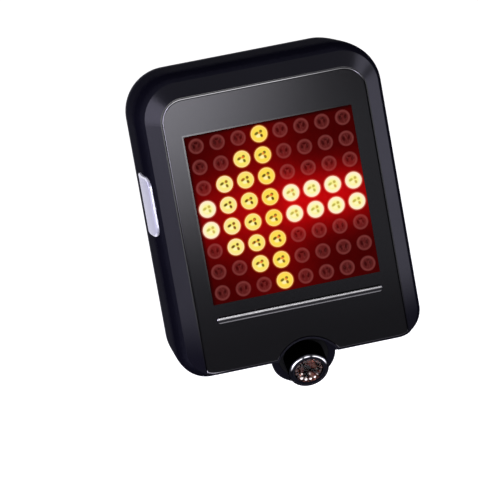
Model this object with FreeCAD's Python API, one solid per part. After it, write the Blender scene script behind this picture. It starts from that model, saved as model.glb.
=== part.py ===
import FreeCAD, Part
import math
import os

# Rear bike light: an 8 by 8 arrow display with a laser lane marker under it, on a hinged seat-post clamp.
# Millimetres. The origin is the middle of the clamp's bore, +Z runs up the post and the display faces -Y.
# The light is built in its own place first, then moved: X to the right as seen from behind the bike,
# Y as the depth behind the panel's face, Z up from the middle of the display.

# Case of the light
case_half_width = 22.3
case_top = 26.0
case_bottom = -29.15
case_corner = 6.8
foot_corner = 4.8
crown_depth = 8.0
crown_rise = 1.3
crown_corner = 8.4
crown_foot_corner = 5.4
rear_rise = 0.7
case_depth = 26.5
case_wall = 1.6
front_wall = 1.5
lid_wall = 2.0
lid_depth = 4.8
chamfer_depth = 2.7
rear_round = 1.2
fit_gap = 0.05

# Front panel and its trim bar
bevel_width = 2.85
bevel_height = 2.9
panel_corner = 4.3
panel_thickness = 1.2
panel_proud = 0.35
panel_round = 0.3
panel_rim = 0.35
lip_width = 0.2
bar_inset = 0.05
bar_height = 1.3
bar_centre = -19.1
bar_proud = 0.35
bar_sunk = 0.5

# Dot display
dot_count = 8
dot_pitch = 4.0
dot_radius = 1.5
display_proud = 0.15
face_bevel = 0.2
display_depth = 6.5
face_thickness = 0.8
dot_proud = 0.05
dot_depth = 3.2
die_size = 0.6
die_height = 0.25
display_board_margin = 1.2
board_thickness = 1.2
gasket_width = 1.6
pin_radius = 0.25
pin_pitch = 2.54
pin_row_half = 12.0
pin_length = 2.45

# Main board and what is on it
board_room_left = 3.3
board_room_right = 2.1
board_room_bottom = 7.05
board_room_top = 1.8
board_tongue = 4.8
tongue_half_width = 13.6
board_screw_x = 10.0
board_screw_low_x = 12.4
board_screw_top_edge = 2.2
board_screw_bottom_edge = 1.4
board_post_radius = 1.7
small_screw_radius = 0.8
small_head_radius = 1.4
small_head_height = 0.9
small_screw_length = 5.0
chip_height = 1.3
chip_spacing = 0.5
insulator_thickness = 0.5

# Battery
battery_gap = 0.2
battery_height = 35.0
battery_corner = 1.5
pad_thickness = 1.5
pad_inset = 2.0
insulator_inset = 1.0
tab_width = 3.0
tab_foot = 1.3
tab_thickness = 0.3
tab_centre = 6.0

# Side button and its switch
button_centre = 3.5
button_height = 11.35
button_length = 11.5
button_start = 4.5
button_edge_proud = 1.1
button_crown = 0.8
button_corner = 1.9
button_round = 0.35
button_gap = 0.15
button_travel = 0.5
seal_thickness = 0.6
flange_thickness = 0.7
flange_width = 1.0
stem_radius = 1.1
switch_depth = 3.0
switch_height = 6.0
switch_width = 2.2
plunger_radius = 0.75
plunger_length = 1.1
plunger_inside = 1.0

# Charging port and its cover
port_centre = -12.0
port_width = 7.5
port_height = 2.7
port_length = 5.5
port_shell = 0.35
port_inset = 0.2
port_margin = 0.55
cover_half_height = 6.0
cover_thickness = 1.3
cover_stand = 0.7
cover_reach = 8.2
cover_gap = 0.15
cover_barrel_radius = 0.85
cover_barrel_half = 4.0
cover_pin_radius = 0.4
cover_pin_half = 5.6
cover_axis_depth = 17.2
plug_length = 0.8
pull_height = 0.4
pull_half = 2.5

# Laser lane marker
laser_tilt = 30.0
laser_face_depth = 3.2
laser_drop = 3.4
barrel_radius = 3.9
barrel_wall = 0.8
barrel_length = 17.5
barrel_reach = 4.5
boss_radius = 6.2
boss_length = 12.5
scoop_radius = 7.2
ring_width = 0.85
ring_depth = 0.7
lens_crown = 0.35
lens_thickness = 1.9
retainer_length = 2.4
retainer_bore = 1.3
diode_length = 4.0
laser_board_thickness = 1.0
seal_width = 0.9
seal_depth = 1.2

# Lid screws and gasket
pillar_offset = 2.0
pillar_radius = 2.7
screw_radius = 1.0
screw_head_radius = 1.9
screw_head_height = 1.4
screw_sunk = 1.7
screw_length = 11.0
cross_width = 0.4
cross_depth = 0.6
seal_inset = 0.5
seal_ring_width = 1.0
seal_ring_depth = 0.8

# Slide-on rail between the light and the clamp
display_height = 1.2
rail_stand = 1.4
rail_half_width = 8.0
rail_height = 22.0
rail_thickness = 2.8
neck_half_width = 4.5
rail_gap = 0.3
channel_lip = 2.0
channel_wall = 2.5
channel_roof = 2.2
channel_round = 1.5

# Seat-post clamp
post_radius = 13.6
liner_thickness = 1.2
clamp_wall = 2.6
clamp_height = 20.0
clamp_bevel = 0.6
ear_gap = 2.0
hinge_stand = 3.0
hinge_forward = 4.5
knuckle_radius = 2.4
knuckle_half = 3.2
knuckle_gap = 0.3
hinge_pin_radius = 1.0
hinge_pin_gap = 0.06
liner_gap = 0.5
bolt_stand = 4.1
ear_margin = 5.0
ear_half_height = 6.0
ear_round = 2.0
base_ear_depth = 6.5
gate_ear_depth = 6.0
bolt_radius = 2.0
bolt_head_across = 7.0
bolt_head_height = 2.8
bolt_end = 1.3
slot_gap = 0.4
washer_radius = 4.4
washer_thickness = 0.8
knob_radius = 5.4
knob_length = 7.0
knob_flutes = 10
flute_radius = 1.1
insert_radius = 3.0
thread_gap = 0.03

# Places that follow from the sizes above
panel_half_width = case_half_width - bevel_width
panel_top = case_top - bevel_height
display_half = dot_pitch * dot_count / 2
display_board_half = display_half + display_board_margin
bar_half_length = display_half - bar_inset
split_depth = case_depth - lid_depth
cavity_front = panel_thickness + front_wall
lid_floor = case_depth - lid_wall
inner_half_width = case_half_width - case_wall
display_front = -display_proud
display_back = display_front + display_depth
cover_face = case_half_width + cover_stand
main_front = display_back + board_thickness + pin_length
main_back = main_front + board_thickness
battery_front = main_back + chip_height + insulator_thickness
battery_back = lid_floor - pad_thickness
board_left = -inner_half_width + board_room_left
board_right = inner_half_width - board_room_right
battery_half_width = inner_half_width - max(board_room_left + switch_width + battery_gap, port_inset + port_length)
board_top = case_top - case_wall - board_room_top
board_bottom = case_bottom + case_wall + board_room_bottom
board_shoulder = board_top - board_tongue
board_screw_top = board_top - board_screw_top_edge
board_screw_bottom = board_bottom + board_screw_bottom_edge
switch_middle = main_back + switch_depth / 2
port_middle = main_back + port_height / 2
button_middle = button_start + button_length / 2
seal_face = -inner_half_width + seal_thickness
button_face = seal_face + flange_thickness
plunger_tip = board_left - plunger_length
tilt = math.radians(laser_tilt)
laser_face = FreeCAD.Vector(0, laser_face_depth, case_bottom - laser_drop)
laser_inward = FreeCAD.Vector(0, math.cos(tilt), math.sin(tilt))
shell_inner = post_radius + liner_thickness
shell_outer = shell_inner + clamp_wall
hinge_x = -(post_radius + hinge_stand)
hinge_y = -hinge_forward
bolt_x = shell_outer + bolt_stand
rear_plane = -(shell_outer + rail_stand + channel_lip + rail_thickness + 2 * rail_gap)
post_to_face = case_depth - rear_plane
channel_half_width = rail_half_width + rail_gap + channel_wall
channel_back = rear_plane + 2 * rail_gap + rail_thickness
gate_ear_back = ear_gap / 2 + gate_ear_depth
washer_back = gate_ear_back + washer_thickness
knob_back = washer_back + knob_length
far = 200.0


def box(low, high):
    size = [b - a for a, b in zip(low, high)]
    return Part.makeBox(*size, FreeCAD.Vector(*low))


def rounded_box(low, high, along, radius):
    """A box whose four edges parallel to the axis with index along are rounded."""
    solid = box(low, high)
    kept = []
    for edge in solid.Edges:
        start, end = (vertex.Point for vertex in edge.Vertexes)
        if abs(abs(start[along] - end[along]) - edge.Length) < 1e-6:
            kept.append(edge)
    return solid.makeFillet(radius, kept)


def rod(start, direction, length, radius):
    return Part.makeCylinder(radius, length, FreeCAD.Vector(*start), FreeCAD.Vector(*direction))


def rod_y(x, z, front, back, radius):
    return rod((x, front, z), (0, 1, 0), back - front, radius)


def join(solids):
    """One clean solid out of pieces that overlap or meet."""
    first, *rest = solids
    return first.fuse(rest).removeSplitter() if rest else first


def hexagon(across, front, height, x, z):
    """Hexagonal prism along +Y with the given width across its flats."""
    corner = across / math.sqrt(3)
    points = []
    for step in range(7):
        turn = math.radians(60 * step)
        points.append(FreeCAD.Vector(x + corner * math.cos(turn), front, z + corner * math.sin(turn)))
    return Part.Face(Part.makePolygon(points)).extrude(FreeCAD.Vector(0, height, 0))


def along_laser(distance):
    """Point on the laser's axis, at a distance behind its front face."""
    return laser_face + laser_inward * distance


def laser_rod(start, end, radius):
    return rod(along_laser(start), laser_inward, end - start, radius)


def laser_tube(start, end, outer, inner):
    return laser_rod(start, end, outer).cut(laser_rod(start, end, inner))


def rounded_wire(rise, corner, foot, depth):
    """The case's outline in one plane, let out by rise, with its own round for the upper and lower corners."""
    half = case_half_width + rise
    top = case_top + rise
    bottom = case_bottom - rise
    edges = []
    last = None
    quarters = ((1, 1, True), (-1, 1, False), (-1, -1, True), (1, -1, False))
    for side, up, from_side in quarters:
        z, radius = (top, corner) if up > 0 else (bottom, foot)
        bend = radius * (1 - math.sqrt(0.5))
        flank = FreeCAD.Vector(side * half, depth, z - up * radius)
        middle = FreeCAD.Vector(side * (half - bend), depth, z - up * bend)
        cap = FreeCAD.Vector(side * (half - radius), depth, z)
        start, end = (flank, cap) if from_side else (cap, flank)
        if last is not None:
            edges.append(Part.makeLine(last, start))
        edges.append(Part.Arc(start, middle, end).toShape())
        last = end
    edges.append(Part.makeLine(last, edges[0].Vertexes[0].Point))
    return Part.Wire(edges)


def outline(inset, front, back):
    """The case's rounded outline, drawn in by inset, as a prism between two depths."""
    plan = Part.Face(rounded_wire(-inset, case_corner - inset, foot_corner - inset, front))
    return plan.extrude(FreeCAD.Vector(0, back - front, 0))


def crowned_body():
    """Solid behind the bevel: its walls swell to the crown and draw in a little towards the rear."""
    wires = []
    for share in (0, 0.3, 0.65, 1):
        depth = chamfer_depth + (crown_depth - chamfer_depth) * share
        swell = 1 - (1 - share) ** 2
        corner = case_corner + (crown_corner - case_corner) * swell
        foot = foot_corner + (crown_foot_corner - foot_corner) * swell
        wires.append(rounded_wire(crown_rise * swell, corner, foot, depth))
    for share in (0.33, 0.67, 1):
        depth = crown_depth + (case_depth - crown_depth) * share
        rise = crown_rise + (rear_rise - crown_rise) * share ** 2
        wires.append(rounded_wire(rise, crown_corner, crown_foot_corner, depth))
    return Part.makeLoft(wires, True, False)


def slab(front, back):
    """Everything between two depths."""
    return box((-far, front, -far), (far, back, far))


def arch(half_width, top, corner, depth):
    """Outline with two round shoulders and straight sides that run down past the case."""
    foot = case_bottom - case_corner
    side = top - corner
    bend = corner * (1 - math.sqrt(0.5))

    def at(x, z):
        return FreeCAD.Vector(x, depth, z)

    left = Part.Arc(at(-half_width, side), at(-half_width + bend, top - bend), at(-half_width + corner, top))
    right = Part.Arc(at(half_width - corner, top), at(half_width - bend, top - bend), at(half_width, side))
    edges = [
        Part.makeLine(at(-half_width, foot), at(-half_width, side)),
        left.toShape(),
        Part.makeLine(at(-half_width + corner, top), at(half_width - corner, top)),
        right.toShape(),
        Part.makeLine(at(half_width, side), at(half_width, foot)),
        Part.makeLine(at(half_width, foot), at(-half_width, foot)),
    ]
    return Part.Wire(edges)


def panel_plan(grow, front, back):
    """The panel's shape between two depths: square-footed arch, round lower corners and the laser's bay."""
    edge = arch(panel_half_width + grow, panel_top + grow, panel_corner + grow, front)
    plan = Part.Face(edge).extrude(FreeCAD.Vector(0, back - front, 0))
    plan = plan.common(outline(panel_rim - grow, front, back))
    return plan.cut(laser_rod(-far / 4, barrel_reach, scoop_radius + panel_rim - grow))


def screw_places():
    """Middle of each lid screw, set off from the middle of the corner's round."""
    places = []
    for side in (-1, 1):
        x = side * (case_half_width - case_corner + pillar_offset)
        places.append((x, case_top - case_corner + pillar_offset))
        places.append((x, case_bottom + case_corner - pillar_offset))
    return places


def board_screw_places():
    return [(side * x, z) for x, z in ((board_screw_x, board_screw_top), (board_screw_low_x, board_screw_bottom))
            for side in (-1, 1)]


def crossed_screw(x, z, seat, head_radius, head_height, radius, length):
    """Screw that enters towards the front, with a cross cut in its head."""
    solid = join([rod_y(x, z, seat, seat + head_height, head_radius), rod_y(x, z, seat - length, seat, radius)])
    arm = head_radius * 0.7
    back = seat + head_height
    for half_x, half_z in ((arm, cross_width / 2), (cross_width / 2, arm)):
        solid = solid.cut(box((x - half_x, back - cross_depth, z - half_z), (x + half_x, back + 1, z + half_z)))
    return solid


def port_window(margin, left, right):
    """Block through the right wall at the charging port, wider than the port by the margin."""
    low = (left, port_middle - port_height / 2 - margin, port_centre - port_width / 2 - margin)
    high = (right, port_middle + port_height / 2 + margin, port_centre + port_width / 2 + margin)
    return box(low, high)


def cover_place():
    """Point on the cover's hinge axis, level with the port."""
    return cover_face - cover_barrel_radius, cover_axis_depth


def cover_recess():
    """Room in the right wall for the cover, its barrel and its pin."""
    x, depth = cover_place()
    front = cover_axis_depth - cover_reach - cover_gap
    half = cover_half_height + cover_gap
    flat = box((cover_face - cover_thickness, front, port_centre - half), (far, depth, port_centre + half))
    barrel_half = cover_barrel_half + cover_gap
    barrel = rod((x, depth, port_centre - barrel_half), (0, 0, 1), 2 * barrel_half, cover_barrel_radius + 0.1)
    behind = depth + cover_barrel_radius + 0.1
    mouth = box((x, depth, port_centre - barrel_half), (far, behind, port_centre + barrel_half))
    sill = box((cover_face, depth, port_centre - half), (far, behind, port_centre + half))
    pin = rod((x, depth, port_centre - cover_pin_half), (0, 0, 1), 2 * cover_pin_half, cover_pin_radius)
    return [flat, barrel, mouth, sill, pin]


def button_block(grow, left, right):
    """The button's outline in the left wall, between two X places."""
    low = (left, button_start - grow, button_centre - button_height / 2 - grow)
    high = (right, button_start + button_length + grow, button_centre + button_height / 2 + grow)
    return rounded_box(low, high, 0, button_corner + grow)


def make_front_case():
    lip = fit_gap + lip_width
    nose = arch(panel_half_width + lip, panel_top + lip, panel_corner + lip, panel_proud)
    shoulder = arch(case_half_width, case_top, case_corner, chamfer_depth)
    bevel = Part.makeLoft([nose, shoulder], True, True)
    front = outline(0, panel_proud, chamfer_depth).common(bevel)
    envelope = front.fuse(crowned_body().common(slab(0, split_depth)))
    hollow = outline(case_wall, cavity_front, split_depth)
    added = [laser_rod(-far / 4, barrel_reach + front_wall, scoop_radius + front_wall)]
    for x, z in screw_places():
        added.append(rod_y(x, z, panel_thickness, split_depth, pillar_radius))
    for x, z in board_screw_places():
        added.append(rod_y(x, z, panel_thickness, main_front, board_post_radius))
    inside = [solid.common(envelope) for solid in added]
    boss = laser_rod(barrel_reach, barrel_reach + boss_length, boss_radius).common(slab(-far, split_depth))
    case = join([envelope.cut(hollow), *inside, boss])
    window = display_half + gasket_width / 4
    cuts = [
        panel_plan(fit_gap, -1, panel_thickness),
        box((-window, -1, -window), (window, cavity_front, window)),
        laser_rod(-far / 4, barrel_reach, scoop_radius),
        laser_rod(-1, far / 4, barrel_radius + fit_gap),
        laser_rod(barrel_reach, barrel_reach + seal_depth, barrel_radius + seal_width + fit_gap),
        button_block(button_gap, -far, -inner_half_width),
        port_window(port_margin, inner_half_width - 1, far),
        *cover_recess(),
    ]
    for x, z in screw_places():
        cuts.append(rod_y(x, z, lid_seat() - screw_length - 0.5, split_depth, screw_radius))
    for x, z in board_screw_places():
        cuts.append(rod_y(x, z, main_front - small_screw_length, main_front, small_screw_radius))
    return case.cut(cuts)


def lid_seat():
    """Depth of the face that the lid screws' heads rest on."""
    return case_depth - screw_sunk


def make_front_panel():
    panel = panel_plan(0, 0, panel_thickness)
    front_edges = [edge for edge in panel.Edges if edge.BoundBox.YMax < 1e-4]
    panel = panel.makeFillet(panel_round, front_edges)
    window = display_half + fit_gap
    panel = panel.cut(box((-window, -1, -window), (window, panel_thickness + 1, window)))
    return panel.cut(bar_shape(fit_gap, -1, bar_sunk))


def bar_shape(grow, front, back):
    half = bar_height / 2 + grow
    low = (-bar_half_length - grow, front, bar_centre - half)
    high = (bar_half_length + grow, back, bar_centre + half)
    return rounded_box(low, high, 1, half * 0.98)


def make_trim_bar():
    bar = bar_shape(0, -bar_proud, bar_sunk)
    edges = [edge for edge in bar.Edges if edge.BoundBox.YMax < -bar_proud + 1e-4]
    return bar.makeFillet(bar_proud * 0.7, edges)


def dot_places():
    """Middle of each dot with whether it is lit: a left arrow with a two-dot shaft and a stepped head."""
    last = dot_count - 1
    head = dot_count // 2 - 1
    for row in range(dot_count):
        for column in range(dot_count):
            near = min(row, last - row)
            lit = near == head or head - near <= column <= head
            yield (column - last / 2) * dot_pitch, (last / 2 - row) * dot_pitch, lit


def dot_rods(front, back, radius, wanted=(True, False)):
    return [rod_y(x, z, front, back, radius) for x, z, lit in dot_places() if lit in wanted]


def make_display_face():
    back = display_front + face_thickness
    plate = box((-display_half, display_front, -display_half), (display_half, back, display_half))
    plate = plate.makeChamfer(face_bevel, [e for e in plate.Edges if e.BoundBox.YMax < display_front + 1e-4])
    return plate.cut(dot_rods(display_front - 1, back + 1, dot_radius))


def make_display_reflector():
    front = display_front + face_thickness
    block = box((-display_half, front, -display_half), (display_half, display_back, display_half))
    return block.cut(dot_rods(front - 1, display_back + 1, dot_radius))


def make_dots(lit):
    front = display_front - dot_proud
    return Part.makeCompound(dot_rods(front, front + dot_depth, dot_radius, (lit,)))


def make_led_dies():
    half = die_size / 2
    front = display_back - die_height
    return Part.makeCompound([box((x - half, front, z - half), (x + half, display_back, z + half))
                              for x, z, lit in dot_places()])


def make_display_board():
    half = display_board_half
    return box((-half, display_back, -half), (half, display_back + board_thickness, half))


def make_display_gasket():
    outer = display_board_half
    inner = display_half + fit_gap
    frame = rounded_box((-outer, cavity_front, -outer), (outer, display_back, outer), 1, 1.0)
    return frame.cut(box((-inner, cavity_front - 1, -inner), (inner, display_back + 1, inner)))


def make_display_pins():
    pins = []
    front = main_front - pin_length
    for index in range(dot_count):
        x = (index - (dot_count - 1) / 2) * pin_pitch
        for z in (-pin_row_half, pin_row_half):
            pins.append(rod_y(x, z, front, main_front, pin_radius))
    return Part.makeCompound(pins)


def make_main_board():
    board = join([
        box((board_left, main_front, board_bottom), (board_right, main_back, board_shoulder)),
        box((-tongue_half_width, main_front, board_shoulder), (tongue_half_width, main_back, board_top)),
    ])
    return board.cut([rod_y(x, z, main_front - 1, main_back + 1, small_screw_radius + fit_gap)
                      for x, z in board_screw_places()])


def make_board_chips():
    """Controller, motion sensor, charger, radio and two coils on the board's rear."""
    chips = []
    places = ((-8, 12, 7), (13, 16, 3), (16, -12, 4), (-16, -16, 4), (1, -26, 4), (-20, 26, 3))
    for place in places:
        x, z, half = (chip_spacing * steps for steps in place)
        chips.append(box((x - half, main_back, z - half), (x + half, main_back + chip_height, z + half)))
    return Part.makeCompound(chips)


def make_board_screws():
    return Part.makeCompound([crossed_screw(x, z, main_back, small_head_radius, small_head_height,
                                            small_screw_radius, small_screw_length - 0.4)
                              for x, z in board_screw_places()])


def battery_box(front, back, shrink):
    half_x = battery_half_width - shrink
    half_z = battery_height / 2 - shrink
    return (-half_x, front, -half_z), (half_x, back, half_z)


def make_battery():
    return rounded_box(*battery_box(battery_front, battery_back, 0), 2, battery_corner)


def make_battery_insulator():
    return box(*battery_box(battery_front - insulator_thickness, battery_front, insulator_inset))


def make_battery_pad():
    return box(*battery_box(battery_back, lid_floor, pad_inset))


def make_battery_tabs():
    """Two strips from the cell's top to the board's rear."""
    tabs = []
    top = battery_height / 2
    middle = (battery_front + battery_back) / 2
    for side in (-1, 1):
        left = side * tab_centre - tab_width / 2
        strip = box((left, main_back, top), (left + tab_width, middle, top + tab_thickness))
        foot_top = top + tab_thickness + tab_foot
        foot = box((left, main_back, top + tab_thickness), (left + tab_width, main_back + tab_thickness, foot_top))
        tabs.append(join([strip, foot]))
    return Part.makeCompound(tabs)


def make_side_button():
    """Crowned cap through the left wall, a flange behind it and a stem to the switch."""
    front = button_start
    back = button_start + button_length
    edge = -case_half_width - button_edge_proud
    bottom = button_centre - button_height / 2 - 1

    def at(x, depth):
        return FreeCAD.Vector(x, depth, bottom)

    crown = Part.Arc(at(edge, back + 1), at(edge - button_crown, button_middle), at(edge, front - 1)).toShape()
    inner = Part.makePolygon([at(edge, front - 1), at(seal_face, front - 1), at(seal_face, back + 1),
                              at(edge, back + 1)])
    slab = Part.Face(Part.Wire([crown, *inner.Edges])).extrude(FreeCAD.Vector(0, 0, button_height + 2))
    cap = slab.common(button_block(0, -far, seal_face))
    rim = [e for e in cap.Edges if e.BoundBox.XMax < edge + button_crown / 4]
    cap = cap.makeFillet(button_round, rim)
    flange = button_block(flange_width, seal_face, button_face)
    stem = rod((button_face, switch_middle, button_centre), (1, 0, 0), plunger_tip - button_face, stem_radius)
    return join([cap, flange, stem])


def make_button_seal():
    outer = button_block(flange_width, -inner_half_width, seal_face)
    return outer.cut(button_block(button_gap, -far, 0))


def make_switch_body():
    half = switch_height / 2
    body = box((board_left, main_back, button_centre - half),
               (board_left + switch_width, main_back + switch_depth, button_centre + half))
    room = plunger_inside + button_travel + fit_gap
    return body.cut(rod((board_left - 1, switch_middle, button_centre), (1, 0, 0), 1 + room,
                        plunger_radius + fit_gap))


def make_switch_plunger():
    return rod((plunger_tip, switch_middle, button_centre), (1, 0, 0), plunger_length + plunger_inside,
               plunger_radius)


def make_charging_port():
    """Metal shell with its tongue, open to the right."""
    right = inner_half_width - port_inset
    left = right - port_length
    shell = port_window(0, left, right).cut(port_window(-port_shell, left + 1, right + 1))
    tongue = box((left + 0.5, port_middle - 0.3, port_centre - 2.4), (right - 0.8, port_middle + 0.3, port_centre + 2.4))
    return join([shell, tongue])


def make_port_cover():
    x, depth = cover_place()
    half = cover_half_height
    left = cover_face - cover_thickness
    front = depth - cover_reach
    plate_back = depth - cover_barrel_radius - cover_gap
    plate = rounded_box((left, front, port_centre - half), (cover_face, plate_back, port_centre + half), 0, 1.2)
    web = box((left, plate_back - 1, port_centre - cover_barrel_half),
              (cover_face, depth, port_centre + cover_barrel_half))
    barrel = rod((x, depth, port_centre - cover_barrel_half), (0, 0, 1), 2 * cover_barrel_half, cover_barrel_radius)
    plug = port_window(-0.15, left - plug_length, left)
    pull = box((cover_face, front, port_centre - pull_half),
               (cover_face + pull_height, front + 1.0, port_centre + pull_half))
    cover = join([plate, web, barrel, plug, pull])
    return cover.cut(rod((x, depth, port_centre - half), (0, 0, 1), 2 * half, cover_pin_radius + fit_gap))


def make_port_cover_pin():
    x, depth = cover_place()
    return rod((x, depth, port_centre - cover_pin_half), (0, 0, 1), 2 * cover_pin_half, cover_pin_radius)


def make_laser_barrel():
    bore = barrel_radius - barrel_wall
    return laser_tube(ring_depth, barrel_length, barrel_radius, bore)


def make_laser_ring():
    ring = laser_tube(0, ring_depth, barrel_radius, barrel_radius - ring_width)
    outer = [edge for edge in ring.Edges if edge.Curve.TypeId == "Part::GeomCircle"
             and (edge.Curve.Center - laser_face).Length < 1e-6]
    return ring.makeFillet(ring_depth * 0.35, outer)


def make_laser_lens():
    """Plano-convex lens turned about the laser's axis, its crown just inside the ring's front."""
    radius = barrel_radius - ring_width
    bulge = (radius ** 2 + lens_crown ** 2) / (2 * lens_crown)
    start = ring_depth * 0.15

    def at(out, distance):
        return along_laser(distance) + FreeCAD.Vector(out, 0, 0)

    halfway = bulge - math.sqrt(bulge ** 2 - radius ** 2 / 4)
    dome = Part.Arc(at(0, start), at(radius / 2, start + halfway), at(radius, start + lens_crown)).toShape()
    rest = Part.makePolygon([at(radius, start + lens_crown), at(radius, start + lens_thickness),
                             at(0, start + lens_thickness), at(0, start)])
    return Part.Face(Part.Wire([dome, *rest.Edges])).revolve(laser_face, laser_inward, 360)


def make_laser_retainer():
    """Brass cone behind the lens that holds it in the barrel."""
    start = ring_depth * 0.15 + lens_thickness
    outer = laser_rod(start, start + retainer_length, barrel_radius - barrel_wall)
    cone = Part.makeCone(barrel_radius - barrel_wall - 0.4, retainer_bore, retainer_length,
                         along_laser(start), laser_inward)
    return outer.cut(cone)


def make_laser_diode():
    back = barrel_length
    radius = barrel_radius - barrel_wall
    base = laser_rod(back - 1.2, back, radius)
    can = laser_rod(back - diode_length, back - 1.2, radius * 0.75)
    return join([base, can])


def make_laser_board():
    return laser_rod(barrel_length, barrel_length + laser_board_thickness, barrel_radius - 0.2)


def make_laser_seal():
    return laser_tube(barrel_reach, barrel_reach + seal_depth, barrel_radius + seal_width, barrel_radius)


def channel_room(extra):
    """What the rail's channel leaves open, from below the light up to its roof."""
    low = -far / 4
    roof = rail_height / 2
    half = rail_half_width + rail_gap
    head = box((-half, rear_plane + extra, low), (half, channel_back, roof))
    gap = neck_half_width + rail_gap
    neck = box((-gap, channel_back - 1, low), (gap, channel_back + channel_lip + 1, roof))
    return [head, neck]


def make_rear_lid():
    lid = crowned_body().common(slab(split_depth, far))
    rear_edges = [edge for edge in lid.Edges if edge.BoundBox.YMin > case_depth - 1e-4]
    lid = lid.makeFillet(rear_round, rear_edges)
    lid = lid.cut(outline(case_wall, split_depth - 1, lid_floor))
    shell = crowned_body().common(slab(split_depth, lid_floor))
    pillars = [rod_y(x, z, split_depth, lid_floor, pillar_radius).common(shell) for x, z in screw_places()]
    lid = join([lid, *pillars])
    cuts = [gasket_ring(0)]
    for x, z in screw_places():
        cuts.append(rod_y(x, z, split_depth - 1, case_depth + 1, screw_radius + fit_gap))
        cuts.append(rod_y(x, z, lid_seat(), case_depth + 1, screw_head_radius + 0.2))
    lid = move_light(lid.cut(cuts))
    block = rounded_box((-channel_half_width, rear_plane, -rail_height / 2),
                        (channel_half_width, channel_back + channel_lip, rail_height / 2 + channel_roof),
                        1, channel_round)
    return join([lid, block.cut(channel_room(0))])


def gasket_ring(grow):
    outer = outline(seal_inset - grow, split_depth, split_depth + seal_ring_depth)
    return outer.cut(outline(seal_inset + seal_ring_width + grow, split_depth - 1, case_depth))


def make_lid_screws():
    return Part.makeCompound([crossed_screw(x, z, lid_seat(), screw_head_radius, screw_head_height,
                                            screw_radius, screw_length)
                              for x, z in screw_places()])


def ring_piece(inner, outer, bevel):
    """Full ring round the post, with its outer rims bevelled."""
    half = clamp_height / 2
    ring = rod((0, 0, -half), (0, 0, 1), clamp_height, outer)
    if bevel:
        ring = ring.makeChamfer(bevel, [e for e in ring.Edges if e.Curve.TypeId == "Part::GeomCircle"])
    return ring.cut(rod((0, 0, -half - 1), (0, 0, 1), clamp_height + 2, inner))


def front_room(left_y, right_y):
    """Everything in front of the two split places, the left one and the right one."""
    return join([box((-far, -far, -far), (0, left_y, far)), box((0, -far, -far), (far, right_y, far))])


def rear_room(left_y, right_y):
    return join([box((-far, left_y, -far), (0, far, far)), box((0, right_y, -far), (far, far, far))])


def knuckle(bottom, top, radius):
    return rod((hinge_x, hinge_y, bottom), (0, 0, 1), top - bottom, radius)


def outer_knuckles(radius, gap):
    half = clamp_height / 2
    return [knuckle(-half, -knuckle_half - gap, radius), knuckle(knuckle_half + gap, half, radius)]


def ear(front, back):
    """Block for the clamp's bolt, to the right of the ring."""
    return rounded_box((shell_inner + 0.7, front, -ear_half_height), (bolt_x + ear_margin, back, ear_half_height),
                       1, ear_round)


def make_clamp_base():
    front = -ear_gap / 2
    ring = ring_piece(shell_inner, shell_outer, clamp_bevel).common(front_room(hinge_y, front))
    ring = ring.cut(knuckle(-knuckle_half - knuckle_gap, knuckle_half + knuckle_gap, knuckle_radius + knuckle_gap))
    knuckles = [solid.cut(rod((0, 0, -far), (0, 0, 1), 2 * far, shell_inner))
                for solid in outer_knuckles(knuckle_radius, knuckle_gap)]
    half = rail_height / 2
    head_front = rear_plane + rail_gap
    head_back = head_front + rail_thickness
    head = rounded_box((-rail_half_width, head_front, -half), (rail_half_width, head_back, half), 2, 0.4)
    neck = box((-neck_half_width, head_back - 0.1, -clamp_height / 2),
               (neck_half_width, -shell_inner - 0.7, clamp_height / 2))
    neck = neck.fuse(box((-neck_half_width, head_back - 0.1, -half), (neck_half_width, head_back + 1.5, half)))
    base = join([ring, *knuckles, ear(front - base_ear_depth, front), neck, head])
    ear_front = front - base_ear_depth
    return base.cut([
        knuckle(-far, far, hinge_pin_radius),
        rod_y(bolt_x, 0, ear_front - 1, 0, bolt_radius),
        hexagon(bolt_head_across, ear_front, bolt_head_height, bolt_x, 0),
    ])


def make_clamp_gate():
    front = ear_gap / 2
    ring = ring_piece(shell_inner, shell_outer, clamp_bevel).common(rear_room(hinge_y, front))
    ring = ring.cut(outer_knuckles(knuckle_radius + knuckle_gap, 0))
    middle = knuckle(-knuckle_half, knuckle_half, knuckle_radius)
    middle = middle.cut(rod((0, 0, -far), (0, 0, 1), 2 * far, shell_inner))
    gate = join([ring, middle, ear(front, gate_ear_back)])
    half_slot = bolt_radius + slot_gap
    slot = box((bolt_x, -1, -half_slot), (far, gate_ear_back + 1, half_slot))
    return gate.cut([knuckle(-far, far, hinge_pin_radius + hinge_pin_gap), slot,
                     rod_y(bolt_x, 0, -1, gate_ear_back + 1, half_slot)])


def make_front_liner():
    return ring_piece(post_radius, shell_inner, 0).common(front_room(hinge_y - liner_gap, -ear_gap / 2))


def make_rear_liner():
    return ring_piece(post_radius, shell_inner, 0).common(rear_room(hinge_y + liner_gap, ear_gap / 2))


def make_hinge_pin():
    half = clamp_height / 2
    return knuckle(-half, half, hinge_pin_radius)


def make_clamp_bolt():
    front = -ear_gap / 2 - base_ear_depth
    head = hexagon(bolt_head_across, front, bolt_head_height, bolt_x, 0)
    neck = front + bolt_head_height
    end = knob_back + bolt_end
    shank = rod_y(bolt_x, 0, neck, end, bolt_radius)
    tip = [edge for edge in shank.Edges if edge.BoundBox.YMin > end - 1e-4]
    return join([head, shank.makeChamfer(0.4, tip)])


def make_clamp_washer():
    washer = rod_y(bolt_x, 0, gate_ear_back, washer_back, washer_radius)
    return washer.cut(rod_y(bolt_x, 0, 0, far, bolt_radius + 0.1))


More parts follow.
